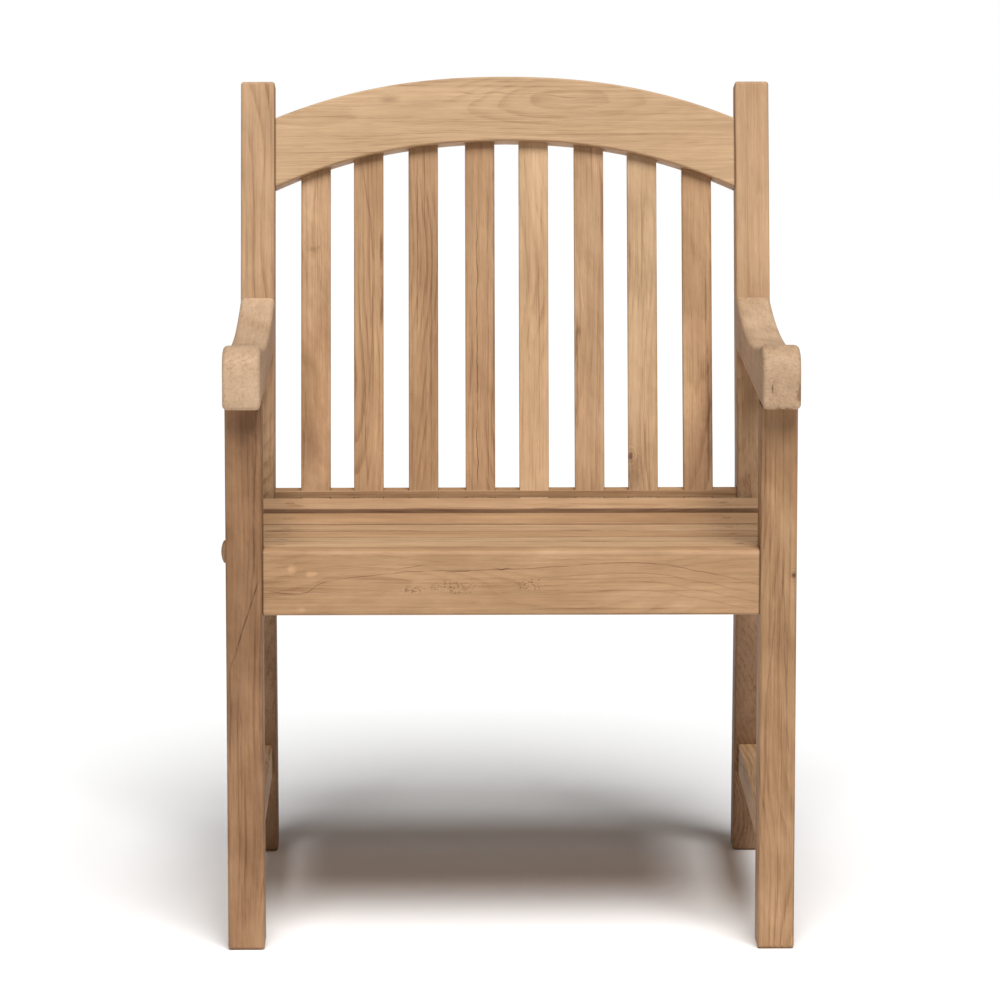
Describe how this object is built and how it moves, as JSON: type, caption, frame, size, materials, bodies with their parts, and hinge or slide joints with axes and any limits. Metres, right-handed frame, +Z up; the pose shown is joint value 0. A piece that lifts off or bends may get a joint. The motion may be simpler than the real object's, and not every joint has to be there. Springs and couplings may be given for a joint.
{
  "type": "garden armchair",
  "caption": "Slatted teak garden armchair with an arched crest rail, raked slatted back, dished seat, deep front apron, scrolled arms and low side stretchers.",
  "frame": {"origin": "on the floor, on the chair's centre plane and at mid depth", "axes": "+X to the viewer's right when facing the front of the chair, +Y towards the chair's back, +Z up"},
  "size_m": [0.607, 0.6115, 0.8864],
  "materials": {
    "teak_frame": "sanded, unfinished teak, a little darker and browner on the legs",
    "teak_back": "sanded, unfinished light teak",
    "teak_seat": "sanded, unfinished teak with dark veins",
    "teak_arm": "sanded, unfinished light teak",
    "teak_plug": "teak plugs sanded flush, end grain up",
    "screw_steel": "plain stainless steel"
  },
  "bodies": {
    "root": {"front_leg_left": "teak_frame", "rear_leg_left": "teak_frame", "side_rail_left": "teak_frame", "side_stretcher_left": "teak_frame", "seat_bearer_left": "teak_frame", "arm_left": "teak_arm", "front_leg_right": "teak_frame", "rear_leg_right": "teak_frame", "side_rail_right": "teak_frame", "side_stretcher_right": "teak_frame", "seat_bearer_right": "teak_frame", "arm_right": "teak_arm", "crest_rail": "teak_back", "lower_back_rail": "teak_back", "back_slat_1": "teak_back", "back_slat_2": "teak_back", "back_slat_3": "teak_back", "back_slat_4": "teak_back", "back_slat_5": "teak_back", "back_slat_6": "teak_back", "back_slat_7": "teak_back", "back_slat_8": "teak_back", "front_apron": "teak_seat", "seat_slat_1": "teak_seat", "seat_slat_2": "teak_seat", "seat_slat_3": "teak_seat", "seat_slat_4": "teak_seat", "seat_slat_5": "teak_seat", "seat_slat_6": "teak_seat", "slat_screw_1_left": "screw_steel", "slat_plug_1_left": "teak_plug", "slat_screw_1_right": "screw_steel", "slat_plug_1_right": "teak_plug", "slat_screw_2_left": "screw_steel", "slat_plug_2_left": "teak_plug", "slat_screw_2_right": "screw_steel", "slat_plug_2_right": "teak_plug", "slat_screw_3_left": "screw_steel", "slat_plug_3_left": "teak_plug", "slat_screw_3_right": "screw_steel", "slat_plug_3_right": "teak_plug", "slat_screw_4_left": "screw_steel", "slat_plug_4_left": "teak_plug", "slat_screw_4_right": "screw_steel", "slat_plug_4_right": "teak_plug", "slat_screw_5_left": "screw_steel", "slat_plug_5_left": "teak_plug", "slat_screw_5_right": "screw_steel", "slat_plug_5_right": "teak_plug", "slat_screw_6_left": "screw_steel", "slat_plug_6_left": "teak_plug", "slat_screw_6_right": "screw_steel", "slat_plug_6_right": "teak_plug", "bearer_screw_1_left": "screw_steel", "bearer_screw_2_left": "screw_steel", "bearer_screw_1_right": "screw_steel", "bearer_screw_2_right": "screw_steel", "leg_button": "teak_plug"}
  },
  "joints": []
}
